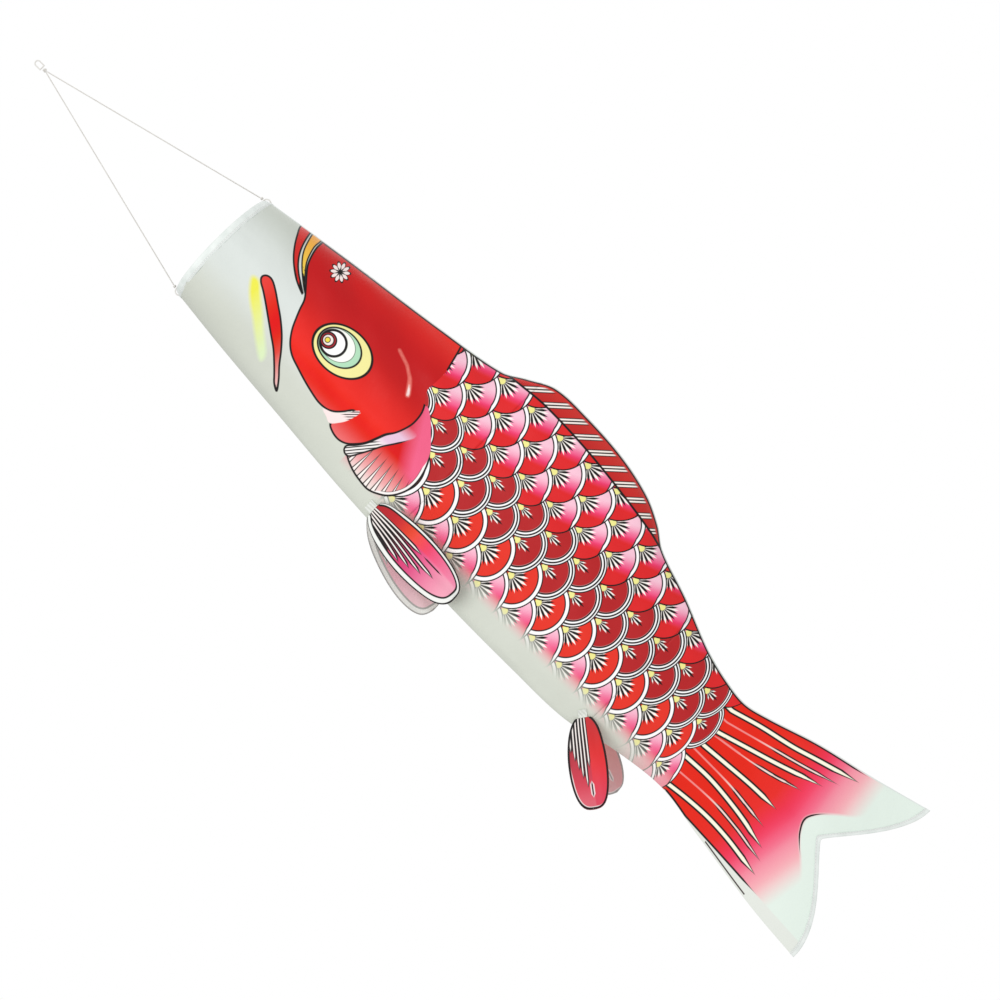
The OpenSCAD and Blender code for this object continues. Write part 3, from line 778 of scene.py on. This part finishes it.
def solid_cloth(name, mesh, thick, *finishes, offset=-1):
    """Gives a sheet its thickness, inwards or with offset 0 both ways, and makes it a piece. Its cut edges
    stay flat."""
    count = len(mesh.vertices)
    draft = new_piece(name + "_sheet", mesh, *finishes)
    shell = draft.modifiers.new("thickness", "SOLIDIFY")
    shell.thickness = thick
    shell.offset = offset
    shell.material_offset = 1
    whole = bpy.data.meshes.new_from_object(draft.evaluated_get(bpy.context.evaluated_depsgraph_get()))
    bpy.data.objects.remove(draft)
    whole.name = name
    for face in whole.polygons:
        face.use_smooth = len({corner < count for corner in face.vertices}) == 1
    return new_piece(name, whole)


# Each length: where it starts and ends in mm from the mouth, the columns and rows of its mesh, and the
# CAD pieces whose place it takes.
lengths = {"head": (8, 360, 110, 130, "front_fold_band", ("front_panel",)),
           "trunk": (360, 660, 110, 110, "middle_fold_band", ("middle_panel",)),
           "tail": (660, None, 100, 130, "tail_fold_band", ("rear_panel", "tail_panel"))}


def bend(piece):
    """Bakes a piece's place into its mesh."""
    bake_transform(piece)


sock = {}
for part, (top, bottom, columns, rows, band, panels) in lengths.items():
    pair = cloth_pair(part, print_cloth, 0.45)
    for hand, side in (("left", -1), ("right", 1)):
        name = f"{hand}_{part}_cloth"
        piece = solid_cloth(name, sock_side(name, side, top, bottom, columns, rows), 0.00035, *pair)
        bend(piece)
        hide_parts(band, *(f"{hand}_{panel}" for panel in panels))
        sock[hand, part] = piece

# ---------------------------------------------------------------- Hems and seams
# The mouth's edge is a casing of white polyester folded over the hoop and sewn down. The forked
# edge of the tail has a narrow folded hem, and the two sides are joined by seams turned inwards.
# White polyester hem: the same weave undyed, with a row of small stitches
white_hem, add = new_material("white woven polyester hem")
place = add("SeparateXYZ", [add("UVMap", uv_map="print")])
along, across = place.outputs[0], place.outputs[1]
dash = add("SUBTRACT", [("PINGPONG", along, 1.6), 1.15])
row = add("SUBTRACT", [("ABSOLUTE", across), 0.28])
stitch = add("MAXIMUM", [dash, row])
mottle = add("TexNoise", {"Vector": add("UVMap", uv_map="print"), "Scale": 0.08})
white = shades(add, mottle, (0.3, "#dbe2de"), (0.7, "#e9eeeb"))
shadow = dye(add, white, ("SUBTRACT", stitch, 0.3), "#b9bfbc")
weave(add, dye(add, shadow, stitch, "#fbfbf8", 0.2), 0)

# The casing's cross section, as (distance from the axis, s), turned once round the mouth
shape = bmesh.new()
section = [(71.1, 10.2), (71.4, 8.3), (71.2, 5.5), (70.9, 3.2), (70.2, 1.6), (69.2, 0.8), (68.1, 0.7),
           (67, 1.5), (66.3, 3.2), (66.3, 5.5), (67.5, 8.2), (69.9, 10.4), (70.5, 10.8)]
ring = [shape.verts.new((r / 1000, 0, -(mouth_drop + s) / 1000)) for r, s in section]
ring += [shape.edges.new(pair) for pair in zip(ring, ring[1:] + ring[:1])]
bmesh.ops.spin(shape, geom=ring, axis=(0, 0, 1), angle=math.tau, steps=256, use_merge=True)
bmesh.ops.remove_doubles(shape, verts=shape.verts, dist=0.00001)
bmesh.ops.recalc_face_normals(shape, faces=shape.faces)
tall = [e for e in shape.edges if abs(e.verts[0].co.z - e.verts[1].co.z) > 0.0012]
bmesh.ops.subdivide_edges(shape, edges=tall, cuts=1, use_grid_fill=True)
# Below its top roll the casing follows the sock, and it ripples a little
stitch_s, inner_r = 8.3, 68.5
turned, depth = [], []
for vert in shape.verts:
    r, turn = math.hypot(vert.co.x, vert.co.y) * 1000, math.atan2(vert.co.y, vert.co.x)
    s = -vert.co.z * 1000 - mouth_drop
    x, y = sock_at(np.array([max(s, 0)]), np.array([abs(turn)]))
    follow = float(ease(2, 9, s))
    r += follow * (math.hypot(x[0], y[0]) - mouth_r + 0.15)
    ripple = noise.noise(Vector((14 * math.cos(turn), 14 * math.sin(turn), s / 30)))
    r += ripple * (0.25 + 0.45 * follow)
    vert.co.x, vert.co.y = r / 1000 * math.cos(turn), r / 1000 * math.sin(turn)
    turned.append(turn * mouth_r)
    depth.append(s - stitch_s if r > inner_r else 5)
mesh = mesh_of("mouth_casing", shape)
lay_map(mesh, "print", turned, depth)
casing = new_piece("mouth_casing", mesh, white_hem)
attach(casing, "head")
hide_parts("mouth_hem")

hem_wide, seam_wide = 6, 6
hems = {}
for hand, side in (("left", -1), ("right", 1)):
    # From -1 to 1 the strip runs up the inside, round the cut edge in its middle share, and up the outside
    shape, (across, down) = grid(120, 16)
    a, over, roll = np.pi * across, down * 2 - 1, 0.12
    edge_s = tail_cut(np.cos(a))
    back = np.clip(np.abs(over) - roll, 0, 1) / (1 - roll) * hem_wide
    turn = np.clip(over / roll, -1, 1) * np.pi / 2
    s = edge_s + np.cos(turn) * 0.4 - back
    x, y = sock_at(edge_s - back, a)
    edge = from_edge(s, x)
    stand = (np.sin(turn) * 0.42 - 0.15) * ease(-1, 3, edge)
    y = np.maximum(y + folds(edge_s - back, x, edge, side) - stand, 0.15)
    mesh = place_cloth(f"{hand}_fork_hem", shape, side, x, y, s)
    lay_map(mesh, "print", x * 1.3, back - 4.6)
    hem = solid_cloth(f"{hand}_fork_hem", mesh, 0.00025, white_hem, white_hem)
    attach(hem, "tail")
    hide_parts(f"{hand}_tail_hem")
    hems[hand] = hem

seams = {}
seam_nodes = {"head": ("front",), "trunk": ("middle",), "tail": ("rear", "tail")}
for edge_name, line, inward, end in (("back", back_line, -1, 993), ("belly", belly_line, 1, 998)):
    for part, (top, bottom, *_) in lengths.items():
        shape, (across, down) = grid(6, 150)
        first, last = top + (1.5 if part == "head" else 0), bottom or end
        s, inset = first + (last - first) * down, across * seam_wide
        y = [0.25 * noise.noise(Vector((si / 9, i / 3, 4.4))) * i / seam_wide for si,
             i in zip(s.tolist(), inset.tolist())]
        name = f"{edge_name}_{part}_seam"
        mesh = place_cloth(name, shape, -1, curve(line, s) + inward * inset, -np.array(y), s)
        lay_map(mesh, "print", s, inset - 2.5)
        seam = solid_cloth(name, mesh, 0.0007, white_hem, offset=0)
        bend(seam)
        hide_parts(*(f"{edge_name}_seam_{node}" for node in seam_nodes[part]))
        seams.setdefault(part, []).append(seam)

# The pieces sewn to each length are listed: the seams and the mouth's casing with the left side, each hem
# with its own side
for (hand, part), piece in sock.items():
    sewn = seams[part] if hand == "left" else []
    if part == "head" and hand == "left":
        sewn = sewn + [casing]
    if part == "tail":
        sewn = sewn + [hems[hand]]

# ---------------------------------------------------------------- Fins
# Two pairs of loose fins, leaf-shaped and of the same printed polyester with a narrow hem. Each is
# sewn to the belly side of the sock by a short root and hangs free, a little curled.
root_share = 0.025              # the share of a fin's length that is gathered in its root


def fin_half(t, wide):
    """Half a fin's width at a share t of its length."""
    return wide / 2 * (4 * t**1.12 * (1 - t**1.12)).clip(0) ** 0.34


def side_at(x, s):
    """y of the sock's side at x and s."""
    back, belly = (float(curve(line, np.array([s]))[0]) for line in (back_line, belly_line))
    share = (x - (back + belly) / 2) / ((back - belly) / 2)
    return 0.4 + float(curve(side_line, np.array([s]))[0]) * (1 - share**2) ** (0.5 + 0.15 * min(1, s / 300))


def print_fin(add, kind):
    """A dark ground, lighter at the tip, with curved rays from the root and a black outline."""
    u, t, half, rim = (add("Attribute", attribute_name=name).outputs["Fac"]
                       for name in ("across", "share", "half", "rim"))
    over = add("MULTIPLY", [u, half])
    # Where the rays lie and how wide their white and black are in mm, and where they end as a share of
    # the length; then the one that stands alone
    pectoral = kind == "pectoral"
    if pectoral:
        ground = shades(add, t, (0.05, "#a81f2b"), (0.3, "#c9305a"), (0.6, "#e05a8a"), (0.9, "#f3a4ba"))
        strip = shades(add, t, (0.05, "#b01e28"), (0.25, "#c9282a"), (0.42, "#ee4a3b"), (0.62, "#f0507a"),
                       (0.95, "#f08fb0"))
        first, bow, pitch, fanned, white, dark = 2.5, 16, 3.1, 8, 0.88, 2.9
        short_end, long_end, lone_place, lone_mid, lone_half = 0.38, 0.8, 6.8, 0.69, 0.13
    else:
        ground = shades(add, t, (0.05, "#a12a33"), (0.45, "#b5303f"), (0.75, "#cf3f52"), (0.98, "#dc6676"))
        strip = shades(add, t, (0.05, "#bd262c"), (0.5, "#dc2c32"), (0.95, "#d8405a"))
        first, bow, pitch, fanned, white, dark = 0.8, 0, 3.5, 1, 0.68, 2.1
        short_end, long_end, lone_place, lone_mid, lone_half = 0.4, 0.8, 1.3, 0.79, 0.1
    # Rays fan out from the root. They are counted from 0 at the strip to -5 at the outer edge.
    centre = add("MULTIPLY_ADD", [("MULTIPLY", t, ("SUBTRACT", 1, t)), bow, first])
    spacing = add("MULTIPLY_ADD", [t, fanned, pitch])
    number = add("DIVIDE", [("SUBTRACT", over, centre), spacing])
    cloth = add("Mix", [("MapRange", number, 0.3, 0.6), ground, strip], data_type="RGBA")
    ray = add("MULTIPLY", [("PINGPONG", number, 0.5), spacing])
    end = add("MapRange", [number, -5, -0.8, short_end, long_end])
    end = add("MINIMUM", [end, ("MapRange", number, -0.6, -0.4, 1, 0.58)])
    shown = add("MULTIPLY", [("MapRange", ("SUBTRACT", end, t), 0, 0.1), ("COMPARE", number, -2.5, 3)])
    white_ray = ("MINIMUM", ("MULTIPLY_ADD", shown, white + 0.5, -0.5), ("MULTIPLY", spacing, 0.27))
    cloth = lay(add, cloth, (ink, ray, ("MULTIPLY_ADD", shown, dark + 0.5, -0.5)),
                (ink, ray, white_ray, "#f6eee9", 0.25))
    # One short ray stands alone nearer the tip
    lone = add("SUBTRACT", [over, lone_place])
    width = add("MapRange", [("ABSOLUTE", ("SUBTRACT", t, lone_mid)), lone_half / 2, lone_half, 0.85, -0.5])
    if not pectoral:
        cloth = ink(add, cloth, lone, ("MULTIPLY_ADD", width, 2.2, 0.4), "#f0dcdc")
    cloth = ink(add, cloth, lone, width)
    if pectoral:
        border = add("MapRange", [u, -0.9, 0.6, 7.4, 5])
        border = add("ADD", [border, ("MapRange", t, 0, 0.25, -2.6, 0)])
        outside = add("SUBTRACT", [rim, border])
        return lay(add, cloth, (dye, outside, "#eef0ec"), (ink, outside, 1.1),
                   (ink, ("SUBTRACT", rim, 0.5), ("MapRange", t, 0.1, 0.3, 0.4, 0.95)))
    pale = ("MapRange", ("ADD", t, ("MULTIPLY", u, -0.25)), 0.72, 0.88, -0.4, 0.6)
    return lay(add, cloth, (ink, ("SUBTRACT", rim, 2.6), pale, "#f4e6e4"),
               (ink, ("SUBTRACT", rim, 1.1), 1.25))


fin_cloth = {kind: cloth_pair(kind, print_fin, 0.5) for kind in ("pectoral", "pelvic")}

# Sewn roots: the undyed end of the fin's cloth, gathered under a row of stitches, with painted shade in the
# hollows of its pleats
root_cloth, add = new_material("gathered polyester fin root")
spot = add("TexCoord")
gather = add("TexWave", {"Vector": spot.outputs["Object"], "Scale": 90, "Distortion": 1.5},
             bands_direction="X")
# Lighter on the ridges of the pleats and darker in their hollows: painted shade
undyed_with_pleat_shade = add("Mix", [gather, "#cfd3ca", "#e2e5df"], data_type="RGBA")
pleats = add("Bump", {"Height": gather, "Strength": 0.6, "Distance": 0.0006})
sewn_cloth = add("BsdfPrincipled", {"Base Color": undyed_with_pleat_shade, "Roughness": 0.6, "Normal": pleats,
                                    "Sheen Weight": 0.25})
add("OutputMaterial", [sewn_cloth])

# Each fin: its root's x and s in mm, how many degrees it splays, how far it flares and stands off
fins = (("left", "pectoral", -88, 327, 2, 0.12, 3), ("right", "pectoral", -87, 327, 16, 0.2, 3),
        ("left", "pelvic", -88, 652, 38, 0.2, 2.4), ("right", "pelvic", -88, 652, 21, 0.32, 2.4))
fin_sizes = {"pectoral": (136, 62, 0.0062), "pelvic": (104, 46, 0.0035)}
for hand, kind, root_x, root_s, splay, flare, stand in fins:
    long, wide, area = fin_sizes[kind]
    splay = math.radians(splay)
    way = Vector((-math.sin(splay), flare, -math.cos(splay))).normalized()
    lean = (side_at(root_x + 8, root_s) - side_at(root_x - 8, root_s)) / 16
    line = Vector((math.cos(splay), 0.75 * lean, -math.sin(splay)))
    line = (line - way * line.dot(way)).normalized()
    out = -way.cross(line)
    root = Vector((root_x, side_at(root_x, root_s) + stand, -mouth_drop - root_s))
    shape, (across, down) = grid(40, 84)
    u = 2 * across - 1
    t = root_share + (1 - root_share) * (1 - np.cos(np.pi * down)) / 2
    half = fin_half(t, wide)
    far, over = (t - root_share) * long + 0.3, u * half
    side = 1 if hand == "right" else -1
    for vert, f, o, ui, ti in zip(shape.verts, far.tolist(), over.tolist(), u.tolist(), t.tolist()):
        curl = 3.2 * ui * ui * ti + 2.2 * math.sin(math.pi * ti)
        ripple = noise.noise(Vector((o / 13, f / 60, 2.2 if hand == "left" else 6.6)))
        spot = root + way * f + line * o + out * (curl + 2.2 * ripple * min(1, f / 20))
        vert.co = (spot.x / 1000, side * spot.y / 1000, spot.z / 1000)
    bmesh.ops.recalc_face_normals(shape, faces=shape.faces)
    shape.normal_update()
    if sum(face.normal.y for face in shape.faces) * side < 0:
        bmesh.ops.reverse_faces(shape, faces=shape.faces)
    mesh = mesh_of(f"{hand}_{kind}_leaf", shape)
    ring_t = root_share + (1 - root_share) * (1 - np.cos(np.pi * np.linspace(0, 1, 60))) / 2
    ring_half, ring_far = fin_half(ring_t, wide), (ring_t - root_share) * long + 0.3
    ring = np.concatenate([np.stack([ring_far, ring_half], 1), np.stack([ring_far, -ring_half], 1)[::-1]])
    keep_fields(mesh, {"across": u, "share": t, "half": half, "rim": reach(ring, far, over)})
    lay_map(mesh, "print", over, far)
    tight = bmesh.new()
    tight.from_mesh(mesh)
    bmesh.ops.remove_doubles(tight, verts=tight.verts, dist=0.00002)
    tight.to_mesh(mesh)
    tight.free()
    fin = solid_cloth(f"{hand}_{kind}_leaf", mesh, 0.0006, *fin_cloth[kind])
    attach(fin, f"{hand}_{kind}")
    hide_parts(f"{hand}_{kind}_fin")
    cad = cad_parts[f"{hand}_{kind}_root"]
    cad.data.materials.clear()
    cad.data.materials.append(root_cloth)
